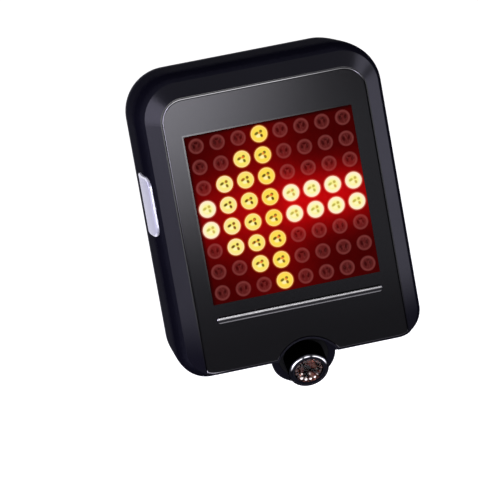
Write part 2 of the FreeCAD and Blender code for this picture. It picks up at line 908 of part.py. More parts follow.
def make_clamp_knob():
    knob = rod_y(bolt_x, 0, washer_back, knob_back, knob_radius)
    knob = knob.makeChamfer(0.6, [edge for edge in knob.Edges if edge.BoundBox.YMin > knob_back - 1e-4])
    reach = knob_radius + flute_radius * 0.55
    cuts = [rod_y(bolt_x, 0, 0, far, insert_radius)]
    for step in range(knob_flutes):
        turn = 2 * math.pi * step / knob_flutes
        cuts.append(rod_y(bolt_x + reach * math.cos(turn), reach * math.sin(turn), washer_back + 1.2,
                          knob_back + 1, flute_radius))
    return knob.cut(cuts)


def make_knob_insert():
    insert = rod_y(bolt_x, 0, washer_back, knob_back - 0.6, insert_radius)
    return insert.cut(rod_y(bolt_x, 0, 0, far, bolt_radius + thread_gap))


def move_light(shape):
    """Carries a piece of the light from its own place to the clamp's frame."""
    return shape.translated(FreeCAD.Vector(0, -post_to_face, display_height))


light_nodes = {
    "front_case": make_front_case,
    "front_panel": make_front_panel,
    "trim_bar": make_trim_bar,
    "display_face": make_display_face,
    "display_reflector": make_display_reflector,
    "lit_dots": lambda: make_dots(True),
    "unlit_dots": lambda: make_dots(False),
    "led_dies": make_led_dies,
    "display_board": make_display_board,
    "display_gasket": make_display_gasket,
    "display_pins": make_display_pins,
    "main_board": make_main_board,
    "board_chips": make_board_chips,
    "board_screws": make_board_screws,
    "battery": make_battery,
    "battery_insulator": make_battery_insulator,
    "battery_pad": make_battery_pad,
    "battery_tabs": make_battery_tabs,
    "side_button": make_side_button,
    "button_seal": make_button_seal,
    "switch_body": make_switch_body,
    "switch_plunger": make_switch_plunger,
    "charging_port": make_charging_port,
    "port_cover": make_port_cover,
    "port_cover_pin": make_port_cover_pin,
    "laser_barrel": make_laser_barrel,
    "laser_ring": make_laser_ring,
    "laser_lens": make_laser_lens,
    "laser_retainer": make_laser_retainer,
    "laser_diode": make_laser_diode,
    "laser_board": make_laser_board,
    "laser_seal": make_laser_seal,
    "lid_gasket": lambda: gasket_ring(0),
    "lid_screws": make_lid_screws,
}

clamp_nodes = {
    "rear_lid": make_rear_lid,
    "clamp_base": make_clamp_base,
    "clamp_gate": make_clamp_gate,
    "front_liner": make_front_liner,
    "rear_liner": make_rear_liner,
    "hinge_pin": make_hinge_pin,
    "clamp_bolt": make_clamp_bolt,
    "clamp_washer": make_clamp_washer,
    "clamp_knob": make_clamp_knob,
    "knob_insert": make_knob_insert,
}

os.makedirs("parts", exist_ok=True)
pieces = {name: move_light(make()) for name, make in light_nodes.items()}
pieces.update({name: make() for name, make in clamp_nodes.items()})
for name, shape in pieces.items():
    shape.exportStep(f"parts/{name}.step")
    print(f"{name}: {len(shape.Solids)} solids, {shape.Volume:.1f} mm3, valid {shape.isValid()}")
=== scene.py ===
import math

import bmesh
import bpy
from mathutils import Euler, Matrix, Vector


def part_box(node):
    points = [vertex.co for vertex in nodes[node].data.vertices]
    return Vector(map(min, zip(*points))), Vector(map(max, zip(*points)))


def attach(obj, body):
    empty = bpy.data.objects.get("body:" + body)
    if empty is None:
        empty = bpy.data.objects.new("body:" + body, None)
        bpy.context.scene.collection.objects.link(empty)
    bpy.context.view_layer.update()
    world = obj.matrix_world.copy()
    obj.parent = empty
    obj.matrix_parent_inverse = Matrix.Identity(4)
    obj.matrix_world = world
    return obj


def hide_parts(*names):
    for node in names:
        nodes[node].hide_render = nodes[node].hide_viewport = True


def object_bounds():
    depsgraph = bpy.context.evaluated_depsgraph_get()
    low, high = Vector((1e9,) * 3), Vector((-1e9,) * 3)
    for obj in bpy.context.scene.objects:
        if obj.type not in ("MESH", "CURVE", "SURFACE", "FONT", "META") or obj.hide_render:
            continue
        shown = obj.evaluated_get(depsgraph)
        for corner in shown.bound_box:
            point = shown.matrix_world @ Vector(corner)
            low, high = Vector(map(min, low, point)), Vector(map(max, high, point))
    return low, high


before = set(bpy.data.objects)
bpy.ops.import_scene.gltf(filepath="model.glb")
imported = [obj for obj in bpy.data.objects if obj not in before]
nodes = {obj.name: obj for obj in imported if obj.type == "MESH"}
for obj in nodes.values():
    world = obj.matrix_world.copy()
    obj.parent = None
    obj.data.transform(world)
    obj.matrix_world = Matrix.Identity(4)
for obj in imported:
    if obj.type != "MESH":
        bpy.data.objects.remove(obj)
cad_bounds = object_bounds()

MM = 0.001

# Sizes and places in millimetres. On the light, x goes to the right, depth goes back from the panel's face
# and z goes up from the display's middle.
face_low, face_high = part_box("display_face")
DISPLAY_MIDDLE_Z = (face_low.z + face_high.z) / 2 / MM
PANEL_FACE_Y = -50.7
PANEL_HALF_WIDTH = 19.45
PANEL_TOP = 23.1
PANEL_FOOT_EDGE = -28.2
WINDOW_HALF = 16.3
WELL_HALF = 16.6
CHAMFER_DEPTH = 2.7
SPLIT_DEPTH = 21.7
SCOOP_RADIUS = 9.0
BAR_MIDDLE = -19.1
BUTTON_MIDDLE = 3.5
BUTTON_FRONT = 4.5
BUTTON_HALF_HEIGHT = 5.675
BUTTON_CORNER = 1.9
BUTTON_CREST = -22.72

# The display's dots, and how brightly the red face glows round the arrow's parts and elsewhere
DOTS_ACROSS = 8
MIDDLE_COLUMN = (DOTS_ACROSS - 1) / 2
DOT_PITCH = 4.0
DOT_RADIUS = 1.5
HALO_WIDTH = 0.36
LIT_DOT_SPREAD = 0.10
DOME_RISE = 0.075
DOME_SEAT = 0.02
DOME_SEGMENTS = 40
DOME_RINGS = 12
SHAFT_GLOW = 0.46
TIP_GLOW = 0.235
HEAD_GLOW = 0.14
REST_GLOW = 0.036
HALO_GLOW = 0.45

# The laser, which points forwards and down
LASER_FACE = Vector((0, -47.5, -31.35))
LASER_TILT = math.radians(30)
LASER_INWARD = Vector((0, math.cos(LASER_TILT), math.sin(LASER_TILT)))
RING_OUTER = 3.9
RING_INNER = 3.05
RING_DEPTH = 0.7
BEAD_RADIUS = 3.50
TURN_STEPS = 96
SMALLEST_FACET = 0.55

# The clamp's liners. The ends are the y of the last rib at the hinge and at the bolt.
POST_RADIUS = 13.6
LINER_BORE = POST_RADIUS + 0.35
BORE_TOLERANCE = 0.1
RIB_COUNT = 72
RIB_SIDES = 10
RIB_RADIUS = 0.42
RIB_HEIGHT = 18.6
FRONT_RIB_ENDS = (-5.8, -1.9)
REAR_RIB_ENDS = (-3.2, 1.9)
WELD_DISTANCE = 0.001
SHARP_ANGLE = math.radians(35)

# How plastic and metal vary: the patches' size in grains, the tones, and the range of roughness
MOULD_PATCH = 40
MOULD_DARK = 0.8
MOULD_BRIGHT = 1.25
MOULD_GLOSS_SPREAD = 0.06
METAL_PATCH = 15
METAL_DARK = 0.88
METAL_GLOSS_SPREAD = 0.1

BLACK = (0.0, 0.0, 0.0)
WHITE = (1.0, 1.0, 1.0)
# Painted light: red light from the display, given off by the walls of the window and of its well
WALL_PAINTED_RED_LIGHT = (0.032, 0.006, 0.005)


class Term:
    """A number in a node tree that takes part in Python sums."""

    def __init__(self, graph, socket):
        self.graph = graph
        self.socket = socket

    def maths(self, operation, *terms):
        return self.graph.node("ShaderNodeMath", {"operation": operation}, dict(enumerate(terms)))

    def __add__(self, other):
        return self.maths("ADD", self, other)

    def __radd__(self, other):
        return self.maths("ADD", other, self)

    def __sub__(self, other):
        return self.maths("SUBTRACT", self, other)

    def __rsub__(self, other):
        return self.maths("SUBTRACT", other, self)

    def __mul__(self, other):
        return self.maths("MULTIPLY", self, other)

    def __rmul__(self, other):
        return self.maths("MULTIPLY", other, self)

    def __truediv__(self, other):
        return self.maths("DIVIDE", self, other)

    def __rtruediv__(self, other):
        return self.maths("DIVIDE", other, self)

    def __pow__(self, other):
        return self.maths("POWER", self, other)

    def __abs__(self):
        return self.maths("ABSOLUTE", self)

    def __lt__(self, other):
        return self.maths("LESS_THAN", self, other)

    def __gt__(self, other):
        return self.maths("GREATER_THAN", self, other)

    def floor(self):
        return self.maths("FLOOR", self)

    def root(self):
        return self.maths("SQRT", self)

    def largest(self, other):
        return self.maths("MAXIMUM", self, other)

    def smallest(self, other):
        return self.maths("MINIMUM", self, other)

    def distance(self, other):
        """Distance from the middle of a place that has this and the other as its coordinates."""
        return (self * self + other * other).root()

    def bell(self, width):
        """1 at zero, falling off smoothly over the width."""
        scaled = self / width
        return self.maths("EXPONENT", scaled * scaled * -1)

    def ease(self, low, high):
        """0 below low and 1 above high, smooth between them, or the other way round if high is lower."""
        if low <= high:
            ends = {1: low, 2: high, 3: 0.0, 4: 1.0}
        else:
            ends = {1: high, 2: low, 3: 1.0, 4: 0.0}
        return self.graph.node("ShaderNodeMapRange", {"interpolation_type": "SMOOTHSTEP"}, {0: self, **ends})

    def fade(self, low, high, least):
        """As ease, but between least and 1."""
        return self.ease(low, high) * (1 - least) + least


class Graph:
    """A node tree that is built from Python."""

    def __init__(self, tree):
        self.tree = tree

    def node(self, kind, settings=None, sockets=None, output=0):
        made = self.tree.nodes.new(kind)
        for key, value in (settings or {}).items():
            setattr(made, key, value)
        for key, value in (sockets or {}).items():
            self.feed(made.inputs[key], value)
        return Term(self, made.outputs[output])

    def feed(self, socket, value):
        """Links or sets a socket. A list of terms is for a socket that takes several links."""
        if isinstance(value, (list, tuple)) and isinstance(value[0], Term):
            for part in value:
                self.tree.links.new(part.socket, socket)
        elif isinstance(value, Term):
            self.tree.links.new(value.socket, socket)
        elif socket.type == "RGBA" and len(value) == 3:
            socket.default_value = (*value, 1.0)
        else:
            socket.default_value = value

    def axes(self, place):
        """The x, y and z of a vector."""
        return tuple(self.node("ShaderNodeSeparateXYZ", sockets={"Vector": place}, output=axis)
                     for axis in "XYZ")


class Finish(Graph):
    """One material: a Principled BSDF and the nodes that feed it."""

    def __init__(self, name, **sockets):
        self.material = bpy.data.materials.new(name)
        self.material.use_nodes = True
        super().__init__(self.material.node_tree)
        self.shader = self.tree.nodes["Principled BSDF"]
        self.place = self.node("ShaderNodeTexCoord", output="Object")
        self.set(**sockets)

    def set(self, **sockets):
        self.fill(self.shader, sockets)

    def fill(self, shader, sockets):
        """Feeds a shader's sockets, whose names have an underscore for each space."""
        for name, value in sockets.items():
            self.feed(shader.inputs[name.replace("_", " ")], value)

    def over(self, mask, **sockets):
        """Lays a second surface over the first where the mask is 1."""
        upper = self.tree.nodes.new("ShaderNodeBsdfPrincipled")
        self.fill(upper, sockets)
        surfaces = [Term(self, shader.outputs["BSDF"]) for shader in (self.shader, upper)]
        both = self.node("ShaderNodeMixShader", sockets={0: mask, 1: surfaces[0], 2: surfaces[1]})
        self.feed(self.tree.nodes["Material Output"].inputs["Surface"], both)

    def spot(self):
        """Place on the light in millimetres: x, depth behind the panel's face, and z."""
        x, y, z = self.axes(self.place)
        return x / MM, y / MM - PANEL_FACE_Y, z / MM - DISPLAY_MIDDLE_Z

    def ring_spot(self):
        """Place in millimetres across the laser's ring: x, and up along its face."""
        x, y, z = self.axes(self.place)
        up = (z / MM - LASER_FACE.z) * math.cos(LASER_TILT) - (y / MM - LASER_FACE.y) * math.sin(LASER_TILT)
        return x / MM, up

    def noise(self, size, detail=2.0, roughness=0.55, stretch=None, turn=(0, 0, 0)):
        """Noise between 0 and 1 whose blobs are about size millimetres across."""
        place = self.place
        if stretch:
            place = self.node("ShaderNodeMapping", sockets={
                "Vector": place, "Scale": stretch, "Rotation": turn})
        return self.node("ShaderNodeTexNoise", sockets={
            "Vector": place, "Scale": 1 / (size * MM), "Detail": detail, "Roughness": roughness})

    def blend(self, factor, low, high):
        """Colour between two others."""
        return self.node("ShaderNodeMix", {"data_type": "RGBA"}, {0: factor, 6: low, 7: high}, output=2)

    def scaled(self, colour, amount):
        return self.node("ShaderNodeVectorMath", {"operation": "SCALE"}, {0: colour, "Scale": amount})

    def sum(self, one, other):
        return self.node("ShaderNodeVectorMath", {"operation": "ADD"}, {0: one, 1: other})

    def bump(self, height, depth):
        """Raises the surface by the height, times depth in millimetres, and gives the new normal."""
        sockets = {"Height": height, "Distance": depth * MM, "Strength": 1.0}
        normal = self.node("ShaderNodeBump", sockets=sockets, output="Normal")
        self.set(Normal=normal)
        return normal


def dress(finish, *names):
    """Gives nodes of the CAD model a finish."""
    for name in names:
        for slot in nodes[name].material_slots:
            slot.material = finish.material


def shade(colour, amount):
    """A plain colour made darker or brighter."""
    return tuple(part * amount for part in colour)


def mould_finish(name, colour, grain, roughness, level=0.3, relief=0.012):
    """Moulded plastic: fine spark-eroded grain, slow patches of gloss and a slight change of tone."""
    finish = Finish(name, Specular_IOR_Level=level)
    grains = finish.noise(grain)
    patches = finish.noise(grain * MOULD_PATCH)
    tone = finish.blend((grains + patches) / 2, shade(colour, MOULD_DARK), shade(colour, MOULD_BRIGHT))
    glossiest = roughness - MOULD_GLOSS_SPREAD / 2
    finish.set(Base_Color=tone, Roughness=glossiest + patches * MOULD_GLOSS_SPREAD)
    finish.bump(grains, relief)
    return finish


def rubber_finish(name, colour, roughness):
    return mould_finish(name, colour, grain=0.3, roughness=roughness, level=0.25, relief=0.010)


def case_finish(name, tone, roughness):
    """Black shell with a satin bluish bevel round the front, and walls that stay dark at a glance."""
    finish = Finish(name, Specular_IOR_Level=0.0, Coat_Roughness=0.30, Emission_Strength=1.0)
    x, depth, z = finish.spot()
    grains = finish.noise(0.22)
    patches = finish.noise(9.0)
    across, up = finish.ring_spot()
    scoop = across.distance(up).ease(SCOOP_RADIUS + 0.4, SCOOP_RADIUS - 0.4)
    bevel = depth.ease(CHAMFER_DEPTH + 0.12, CHAMFER_DEPTH - 0.05) * (1 - scoop)
    well = abs(x).largest(abs(z)).ease(WELL_HALF + 0.3, WELL_HALF) * depth.ease(3.0, 2.0)
    seam = abs(depth - SPLIT_DEPTH).ease(0.16, 0.05)
    finish.set(Base_Color=finish.blend(patches, (0.0010, 0.0009, 0.0024), (0.0016, 0.0014, 0.0036)),
               Roughness=0.42 + grains * 0.1,
               # The bevel's coat thins towards the foot, which darkens it there as painted shade.
               Coat_Weight=bevel * z.fade(-26.5, -16.0, 0.15) * (0.19 + patches * 0.04),
               # The well's walls give off painted red light from the display.
               Emission_Color=finish.scaled(WALL_PAINTED_RED_LIGHT, well))
    relief = finish.bump(grains * (1 - bevel * 0.85), 0.02)
    gloss = finish.blend(grains, (0.034, 0.034, 0.042), (0.072, 0.072, 0.086))
    # The metal layer is mostly left out in the laser's scoop, which keeps the recess dark as painted shade.
    finish.over((1 - bevel) * (1 - scoop * 0.75) * tone, Base_Color=finish.scaled(gloss, 1 - seam * 0.8),
                Metallic=1.0, Specular_Tint=BLACK, Roughness=roughness + patches * 0.06, Normal=relief)
    return finish


def panel_finish():
    """Satin graphite front with a very fine sandblasted grain: painted highlights along its edge and the
    window's, painted red light on the window's wall, and painted shade towards the bottom.
    """
    finish = Finish("front_panel_satin", Specular_IOR_Level=0.064, Specular_Tint=(0.92, 0.90, 1.0))
    x, depth, z = finish.spot()
    grains = finish.noise(0.12)
    patches = finish.noise(14.0)
    from_left = x + PANEL_HALF_WIDTH
    from_top = PANEL_TOP - z
    # Bands of the rounded edge, by their depth behind the face
    edge = depth.ease(0.001, 0.010)
    brim = depth.ease(0.10, 0.05)
    brow = depth.ease(0.03, 0.09)
    lip = depth.ease(0.26, 0.16)
    top_light = from_top.ease(3.4, 0.9) * from_left.ease(0.2, 3.4) * x.fade(17.5, 2.0, 0.3) * 0.85
    foot_light = z.ease(PANEL_FOOT_EDGE + 0.4, PANEL_FOOT_EDGE) * ((from_left - 1.2).bell(1.6) * 0.5 + 0.08)
    left_light = from_left.ease(1.6, 0.3) * z.ease(-20.0, 18.0) ** 2 * (brim * 0.14 + 0.02)
    # Painted highlight on the window's wall, bright towards its top left corner
    to_corner = z - x
    wall = abs(x).largest(abs(z)).ease(WINDOW_HALF + 0.11, WINDOW_HALF)
    window = wall * to_corner.ease(0.0, 5.0)
    # Painted highlights: along the top edge from the left, along the foot and strongest at its left corner,
    # down the left edge, and on the window's wall
    painted_edge_highlight = brow * (top_light + lip * foot_light) + left_light + window * (to_corner * 0.00039 - 0.0006)
    painted_edge_highlight = (painted_edge_highlight + 0.004).largest(0.0)
    satin = finish.blend(grains, (0.0009, 0.0009, 0.0011), (0.0017, 0.0017, 0.0020))
    # The satin is painted darker towards the bottom, as shade over the chin.
    finish.set(Base_Color=finish.scaled(satin, z.fade(-26.0, -14.0, 0.3)), Roughness=0.15 + patches * 0.02)
    finish.bump(grains * (1 - edge), 0.0018)
    # The painted highlights are laid over the satin as bright metal.
    finish.over(edge.largest(window), Base_Color=finish.scaled((0.92, 0.90, 0.95), painted_edge_highlight), Metallic=1.0,
                Roughness=0.26, Specular_Tint=BLACK,
                # The window's wall gives off painted red light from the display.
                Emission_Color=finish.scaled(WALL_PAINTED_RED_LIGHT, wall * depth.ease(0.02, 0.06)), Emission_Strength=1.0)
    return finish


def arrow_lights(x, z):
    """1 in the cells that the left arrow lights, with the cell's column, which is 0 at the left."""
    column = (x / DOT_PITCH + DOTS_ACROSS / 2).floor()
    step = (abs(z) / DOT_PITCH).floor()
    head = (column > step - 0.5) * (column < MIDDLE_COLUMN)
    return head.largest(step < 0.5), column


def arrow_parts(column):
    """1 in the arrow's shaft, and 1 in its tip."""
    return column > MIDDLE_COLUMN, column < 0.5


def cell(finish):
    """Place in a dot's cell, its column, and 1 where the arrow lights it."""
    x, _, z = finish.spot()
    lit, column = arrow_lights(x, z)
    row = (z / DOT_PITCH + DOTS_ACROSS / 2).floor()
    across = x - (column - MIDDLE_COLUMN) * DOT_PITCH
    up = z - (row - MIDDLE_COLUMN) * DOT_PITCH
    return across, up, column, lit


def red_glow(finish):
    """How bright the face is where the dots' light spreads in it, with a painted shadow of the window's edge
    along its left and top.
    """
    x, _, z = finish.spot()
    speckle = finish.noise(0.8, detail=3.0)
    shaft = z.bell(4.8) * x.ease(-4.0, 3.0) * x.fade(17.0, 11.0, 0.55) * SHAFT_GLOW
    tip = (x + 9.0).bell(9.0) * z.bell(6.6) * TIP_GLOW
    head = (x + 2.5).bell(6.0) * z.bell(13.0) * HEAD_GLOW
    rest = REST_GLOW + (x + 1.0).bell(9.0) * 0.02
    # Painted shadow of the window's edge along the face's left and top
    window_edge_shadow = (0 - x).largest(z).fade(16.0, 15.2, 0.25)
    return (rest + shaft.largest(tip) + head) * (0.80 + speckle * 0.4) * window_edge_shadow


def face_finish():
    """Dark red display face that glows where the lit dots' light spreads in it."""
    finish = Finish("display_face_red", Roughness=0.6, Specular_IOR_Level=0.0, Emission_Strength=1.0)
    across, up, column, lit = cell(finish)
    halo = across.distance(up).ease(DOT_RADIUS + HALO_WIDTH, DOT_RADIUS) * lit
    shaft, tip = arrow_parts(column)
    speckle = finish.noise(0.5)
    red = finish.blend(speckle, (1.0, 0.001, 0.001), (1.0, 0.006, 0.010))
    ring = finish.blend(shaft.largest(tip), (1.0, 0.26, 0.03), (1.0, 0.44, 0.26))
    spread_light = finish.scaled(red, red_glow(finish))
    halo_light = finish.scaled(ring, halo * HALO_GLOW)
    finish.set(Base_Color=finish.blend(speckle, (0.004, 0.0002, 0.0002), (0.009, 0.0004, 0.0004)),
               Emission_Color=finish.sum(spread_light, halo_light))
    return finish


def blot(across, up, middle, half, turn=0.0):
    """Oval with a soft edge in a dot's cell, from its middle, its half sizes and its turn in degrees."""
    lean, rise = math.cos(math.radians(turn)), math.sin(math.radians(turn))
    x, z = across - middle[0], up - middle[1]
    along = (x * lean + z * rise) / half[0]
    over = (z * lean - x * rise) / half[1]
    return along.distance(over).ease(1.35, 0.45)


# Colours of the lit dots: deep ones in the arrow's head, pale ones in its tip and shaft
DEEP_YELLOW = (0.94, 0.79, 0.08)
PALE_YELLOW = (0.96, 0.90, 0.28)
DEEP_RIM = (0.93, 0.72, 0.09)
PALE_RIM = (0.96, 0.90, 0.56)
AMBER = (1.0, 0.66, 0.07)
BLUSH = (1.0, 0.72, 0.60)
SPARK = (1.0, 0.95, 0.60)
DEEP_BROWN = (0.10, 0.055, 0.006)
DEEP_OLIVE = (0.16, 0.13, 0.012)
DEEP_RUST = (0.50, 0.14, 0.02)
PALE_OLIVE = (0.36, 0.33, 0.02)
PALE_RUST = (0.62, 0.30, 0.05)
HOT_RED = (0.90, 0.17, 0.03)


def lit_finish():
    """Glowing resin with dark die and bond pads: pale in the tip and the shaft, deep yellow in the head."""
    finish = Finish("dot_resin_lit", Roughness=0.5, Base_Color=(0.01, 0.006, 0.001), Specular_IOR_Level=0.0,
                    Emission_Strength=1.0)
    across, up, column, _ = cell(finish)
    away = across.distance(up)
    uneven = finish.noise(0.45)
    tone = finish.noise(4.5, detail=1.0)
    shaft, tip = arrow_parts(column)
    near_tip = column.ease(2.9, 0.6)
    pale = shaft.largest(tip).largest(near_tip * 0.45)
    middle = finish.blend(pale, DEEP_YELLOW, PALE_YELLOW)
    rim = finish.blend(pale, DEEP_RIM, PALE_RIM)
    glow = finish.blend(away.ease(0.6, 1.25), middle, rim)
    glow = finish.blend((column - 3.0).bell(0.6) * 0.4, glow, AMBER)
    glow = finish.blend(away.ease(1.25, 1.5) * (0.25 + pale * 0.45), glow, BLUSH)
    spark = blot(across, up, (-0.16, -0.34), (0.52, 0.36))
    glow = finish.blend(spark * 0.6, glow, SPARK)
    dash = blot(across, up, (-0.50, 0.16), (0.44, 0.26), 28)
    upper = blot(across, up, (0.36, 0.44), (0.30, 0.30))
    lower = blot(across, up, (0.40, -0.36), (0.26, 0.36), 20)
    strength = (1 - shaft * 0.35 - tip * 0.30 - near_tip * 0.08) * (0.80 + uneven * 0.8)
    dark = (dash.largest(upper).largest(lower) * strength).smallest(1.0)
    deep_mark = finish.blend(tone.ease(0.42, 0.58), DEEP_BROWN, DEEP_OLIVE)
    deep_mark = finish.blend(uneven.ease(0.50, 0.66), deep_mark, DEEP_RUST)
    pale_mark = finish.blend(uneven.ease(0.48, 0.60), PALE_OLIVE, PALE_RUST)
    glow = finish.blend(dark, glow, finish.blend(shaft.largest(tip), deep_mark, pale_mark))
    warm = blot(across, up, (0.16, 0.27), (0.30, 0.22), 15) * ((column - 2.7).bell(1.1) * 1.1 + 0.12)
    glow = finish.blend((warm * uneven.ease(0.34, 0.54) * 0.9).smallest(1.0), glow, HOT_RED)
    finish.set(Emission_Color=glow)
    return finish


def unlit_finish():
    """Clear resin over a dark cup, with painted light: a soft pink-brown rim and faint marks inside glow
    though the dot is not lit.
    """
    finish = Finish("dot_resin_unlit", Roughness=0.4, Specular_IOR_Level=0.0, Emission_Strength=1.0,
                    Base_Color=(0.004, 0.0005, 0.0005))
    across, up, _, _ = cell(finish)
    away = across.distance(up)
    uneven = finish.noise(0.7, detail=3.0, roughness=0.6)
    streaks = finish.noise(0.32, roughness=0.6, stretch=(1.0, 1.0, 0.45))
    tone = finish.noise(3.2, detail=1.0)
    rim = (away - 1.22).bell(0.18) * (0.45 + uneven * 1.3)
    cup = away.ease(1.62, 1.40)
    die = blot(across, up, (0.05, 0.02), (0.24, 0.40), 8)
    marks = (die.largest(away.ease(1.15, 0.85) * 0.8) * streaks.ease(0.50, 0.64)).smallest(1.0)
    left_pad = blot(across, up, (-0.50, 0.04), (0.28, 0.52), 12) * (0.65 + tone * 0.5)
    right_pad = blot(across, up, (0.50, 0.10), (0.26, 0.48), -14) * (1.3 - tone)
    bridge = blot(across, up, (0.02, 0.60), (0.46, 0.20)) * tone.ease(0.42, 0.56)
    dark = (left_pad.largest(right_pad).largest(bridge) * (0.65 + streaks * 0.7)).smallest(1.0)
    red = finish.scaled((1.0, 0.002, 0.002), red_glow(finish) * (0.90 - dark * 0.35))
    # Painted light: the cup, the rim and the marks glow though the dot is not lit.
    painted_cup_light = finish.scaled((0.048, 0.0100, 0.0094), cup * (1 - dark * 0.98))
    bright = finish.scaled((0.070, 0.0200, 0.0185), rim + marks * 0.55)
    finish.set(Emission_Color=finish.sum(red, finish.sum(painted_cup_light, bright)))
    return finish


def bar_finish():
    """Dark polished trim with a painted highlight along each long edge: bright on the upper, dim on the
    lower.
    """
    finish = Finish("trim_bar_polished", Metallic=1.0)
    height = finish.spot()[2] - BAR_MIDDLE
    wear = finish.noise(1.5, detail=3.0)
    # Painted highlights along the upper and the lower edge; the wear noise also varies the upper one's
    # strength.
    upper = (height - 0.26).bell(0.125) * (0.21 + wear * 0.14)
    lower = (height + 0.50).bell(0.12) * 0.12
    finish.set(Base_Color=finish.blend(upper.largest(lower), (0.006, 0.006, 0.007), (0.80, 0.78, 0.80)),
               Roughness=0.16 + wear * 0.1)
    return finish


def button_finish():
    """Satin silver-grey button with a faint brushed grain and a painted highlight round its rim, laid in as a
    bright metal band.
    """
    finish = Finish("button_satin")
    x, depth, z = finish.spot()
    grains = finish.noise(0.16)
    brushed = finish.noise(0.3, stretch=(1.0, 1.0, 0.12))
    forward = (BUTTON_FRONT + BUTTON_CORNER - depth).largest(0.0)
    sideways = (abs(z - BUTTON_MIDDLE) - BUTTON_HALF_HEIGHT + BUTTON_CORNER).largest(0.0)
    outline = forward.distance(sideways).ease(BUTTON_CORNER - 0.32, BUTTON_CORNER - 0.16)
    shoulder = x.ease(BUTTON_CREST - 0.18, BUTTON_CREST).largest(sideways.ease(0.9, 1.8) * 0.6)
    # Painted highlight: a bright band along the face's front edge, its top and its bottom
    rim = outline * shoulder
    satin = finish.blend(brushed, (0.18, 0.18, 0.225), (0.225, 0.225, 0.275))
    finish.set(Base_Color=finish.blend(rim, satin, (0.80, 0.80, 0.84)), Metallic=0.3 + rim * 0.6,
               Roughness=0.28 + grains * 0.1)
    finish.bump(grains * (1 - rim), 0.003)
    return finish


def metal_finish(name, colour, roughness, grain=0.4, relief=0.003, stretch=None, glance=WHITE):
    """Metal with a fine grain and slow patches of tone, which glance tints where it's seen nearly edge on."""
    finish = Finish(name, Metallic=1.0, Specular_Tint=glance)
    scratches = finish.noise(grain, detail=3.0, stretch=stretch)
    patches = finish.noise(grain * METAL_PATCH)
    glossiest = roughness - 0.04
    finish.set(Base_Color=finish.blend(patches, shade(colour, METAL_DARK), colour),
               Roughness=glossiest + scratches * METAL_GLOSS_SPREAD)
    finish.bump(scratches, relief)
    return finish


def lens_finish():
    """Clear coated glass with a little dust."""
    finish = Finish("laser_lens_glass", Base_Color=(0.97, 0.98, 1.0), Transmission_Weight=1.0, IOR=1.04,
                    Coat_Weight=0.15, Coat_Roughness=0.02)
    finish.set(Roughness=finish.noise(0.5) * 0.02)
    return finish


def ring_finish():
    """Blackened ring with a thin bead that carries a painted highlight on its upper half, but for two gaps.
    """
    finish = Finish("laser_ring_blackened", Metallic=1.0, Specular_Tint=(0.1, 0.1, 0.1))
    x, up = finish.ring_spot()
    wear = finish.noise(0.8, detail=3.0)
    bead = (x.distance(up) - BEAD_RADIUS).bell(0.115)
    # Painted highlight on the bead's upper half, broken by two gaps
    painted_upper_highlight = up.ease(0.7, 2.0) * (1 - (x + 0.95).bell(0.24)) * (1 - (x - 0.60).bell(0.42))
    finish.set(Base_Color=finish.blend(bead * painted_upper_highlight, (0.006, 0.006, 0.008), (0.95, 0.94, 0.96)),
               Roughness=0.16 + wear * 0.12)
    return finish


def cone_finish():
    """Dark cone behind the lens, streaked along its slope, with painted light: bronze only in patches at its
    left and right, and painted glints low on its right.
    """
    finish = Finish("laser_cone_bronze", Metallic=1.0, Specular_Tint=BLACK)
    x, up = finish.ring_spot()
    streaks = finish.noise(1.0, roughness=0.5, stretch=(1.0, 0.12, 1.0), turn=(-LASER_TILT, 0, 0))
    # Painted light: bronze patches at the left and right, dark elsewhere
    red = streaks.ease(0.40, 0.60) * ((x + 1.7).bell(0.9) + (x - 1.2).bell(0.9)).smallest(1.0)
    bronze = finish.blend(red, (0.006, 0.005, 0.006), (0.46, 0.20, 0.16))
    glints = streaks.ease(0.56, 0.64) * up.ease(0.2, -1.0) * (x + 0.6).ease(0.0, 0.8)
    finish.set(Base_Color=finish.blend(glints, bronze, (0.55, 0.30, 0.20)), Roughness=0.25 + streaks * 0.1)
    return finish


def facet_finish():
    """Polished facets round the lens, dark but for painted glints at its foot."""
    finish = Finish("lens_facets", Metallic=0.5, Specular_IOR_Level=0.5)
    x, up = finish.ring_spot()
    glint_and_roughness_noise = finish.noise(0.6)
    # Painted glints on some facets at the foot
    bright = up.ease(-1.0, -1.6) * abs(x + 0.1).ease(1.9, 1.4) * glint_and_roughness_noise.ease(0.22, 0.34)
    finish.set(Base_Color=finish.blend(bright, (0.03, 0.012, 0.010), (1.0, 0.86, 0.80)),
               Roughness=0.12 + glint_and_roughness_noise * 0.1)
    return finish


def board_finish():
    """Green solder mask over raised copper tracks."""
    finish = Finish("board_mask")
    tracks = finish.node("ShaderNodeTexVoronoi", {"distance": "MANHATTAN", "feature": "DISTANCE_TO_EDGE"},
                         {"Vector": finish.place, "Scale": 900.0})
    lines = tracks.ease(0.05, 0.09)
    finish.set(Base_Color=finish.blend(lines, (0.02, 0.11, 0.045), (0.01, 0.06, 0.025)),
               Roughness=0.3 + lines * 0.1)
    finish.bump(lines, 0.02)
    return finish


